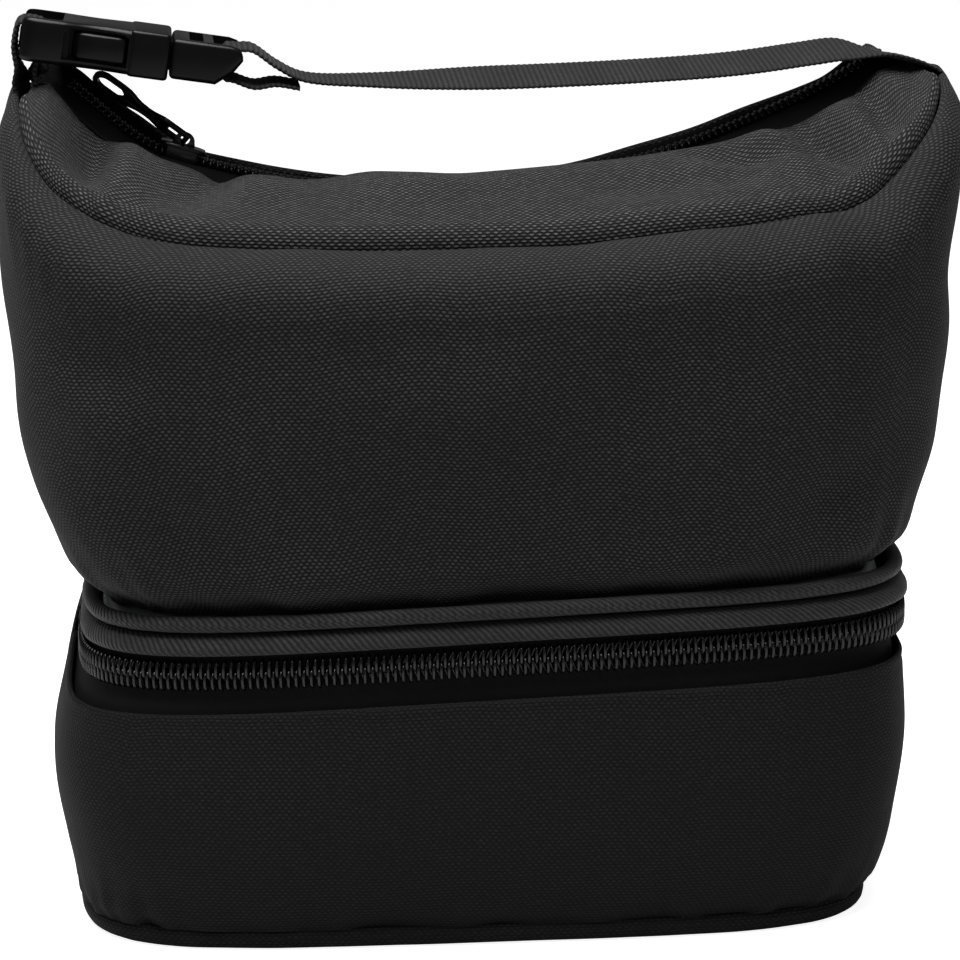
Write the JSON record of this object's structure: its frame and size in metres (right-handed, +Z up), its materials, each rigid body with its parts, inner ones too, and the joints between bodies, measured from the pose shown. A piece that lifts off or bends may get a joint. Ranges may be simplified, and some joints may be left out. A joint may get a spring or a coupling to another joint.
{
  "type": "insulated food bag",
  "caption": "Two-compartment insulated food bag with padded fabric walls, a sagging zipped top, a zipped lower compartment and a webbing handle with a side-release buckle.",
  "frame": {"origin": "middle of the base, on the floor", "axes": "+Z up, +X along the bag's width towards the ear that the handle's webbing starts from, +Y to the back, so the front with the longer side faces -Y"},
  "size_m": [0.2422, 0.1472, 0.2302],
  "materials": {
    "outer_fabric": "near-black plain-weave polyester, matt",
    "trim": "black woven tape and cord, matt",
    "webbing": "black ribbed webbing, slight sheen",
    "buckle_plastic": "black moulded plastic, satin",
    "zip_coil": "black nylon coil, glossy",
    "slider_metal": "black lacquered metal, satin",
    "lining": "silver-grey reflective film lining",
    "foam": "white closed-cell foam",
    "board": "dark stiffening board"
  },
  "bodies": {
    "lower_compartment": {"base_panel": "outer_fabric", "base_board": "board", "base_foam": "foam", "base_piping": "trim", "lower_shell": "outer_fabric", "lower_foam": "foam", "lower_lining": "lining", "lower_zip_tape_lower": "trim", "lower_zip_coil_lower": "zip_coil", "hinge_tape": "trim"},
    "upper_compartment": {"divider_panel": "lining", "divider_foam": "foam", "lower_zip_coil_upper": "zip_coil", "lower_zip_tape_upper": "trim", "waist_band": "trim", "waist_piping": "trim", "upper_shell": "outer_fabric", "upper_foam": "foam", "upper_lining": "lining", "top_panel_front": "outer_fabric", "top_panel_back": "outer_fabric", "top_pad_front": "foam", "top_pad_back": "foam", "top_zip_tape_front": "trim", "top_zip_tape_back": "trim", "top_zip_coil_front": "zip_coil", "top_zip_coil_back": "zip_coil", "strap_anchor_left": "webbing", "strap_anchor_right": "webbing"},
    "top_slider": {"top_zip_slider": "slider_metal"},
    "top_pull": {"top_zip_pull": "slider_metal"},
    "lower_slider": {"lower_zip_slider": "slider_metal"},
    "lower_pull": {"lower_zip_pull": "slider_metal"},
    "handle": {"handle_strap": "webbing", "strap_tail": "webbing", "strap_loop": "webbing", "buckle_receptacle": "buckle_plastic", "buckle_plug": "buckle_plastic"},
    "latch_rear": {"latch_arm_rear": "buckle_plastic"},
    "latch_front": {"latch_arm_front": "buckle_plastic"}
  },
  "joints": [
    {"name": "upper_tilt", "type": "hinge", "parent": "lower_compartment", "child": "upper_compartment", "pos_m": [0, 0.0703, 0.0736], "axis": [-0.9995, 0, -0.033], "range_deg": [0, 85]},
    {"name": "handle_swing", "type": "hinge", "parent": "upper_compartment", "child": "handle", "pos_m": [0, 0, 0.2085], "axis": [1, 0, 0], "range_deg": [-12, 12]},
    {"name": "latch_rear_squeeze", "type": "hinge", "parent": "handle", "child": "latch_rear", "pos_m": [-0.07804, 0.0107, 0.21954], "axis": [0.1478, 0, 0.989], "range_deg": [0, 11]},
    {"name": "latch_front_squeeze", "type": "hinge", "parent": "handle", "child": "latch_front", "pos_m": [-0.07804, -0.0107, 0.21954], "axis": [0.1478, 0, 0.989], "range_deg": [-11, 0]},
    {"name": "top_zip_travel", "type": "hinge", "parent": "upper_compartment", "child": "top_slider", "pos_m": [-0.0105, 0, 0.3995], "axis": [0, -1, 0], "range_deg": [-1.6, 38.8]},
    {"name": "top_pull_flip", "type": "hinge", "parent": "top_slider", "child": "top_pull", "pos_m": [-0.07118, 0, 0.19908], "axis": [0, 1, 0], "range_deg": [-8, 1.5]},
    {"name": "lower_zip_travel", "type": "hinge", "parent": "lower_compartment", "child": "lower_slider", "pos_m": [-0.76049, 0, 0.07702], "axis": [0, 0, 1], "range_deg": [-2.92, 0]},
    {"name": "lower_pull_flip", "type": "hinge", "parent": "lower_slider", "child": "lower_pull", "pos_m": [0.10883, 0.02214, 0.07702], "axis": [0, 0, -1], "range_deg": [0, 165]}
  ],
  "couplings": [
    {"joint": "latch_front_squeeze", "follows": "latch_rear_squeeze", "ratio": -1}
  ]
}
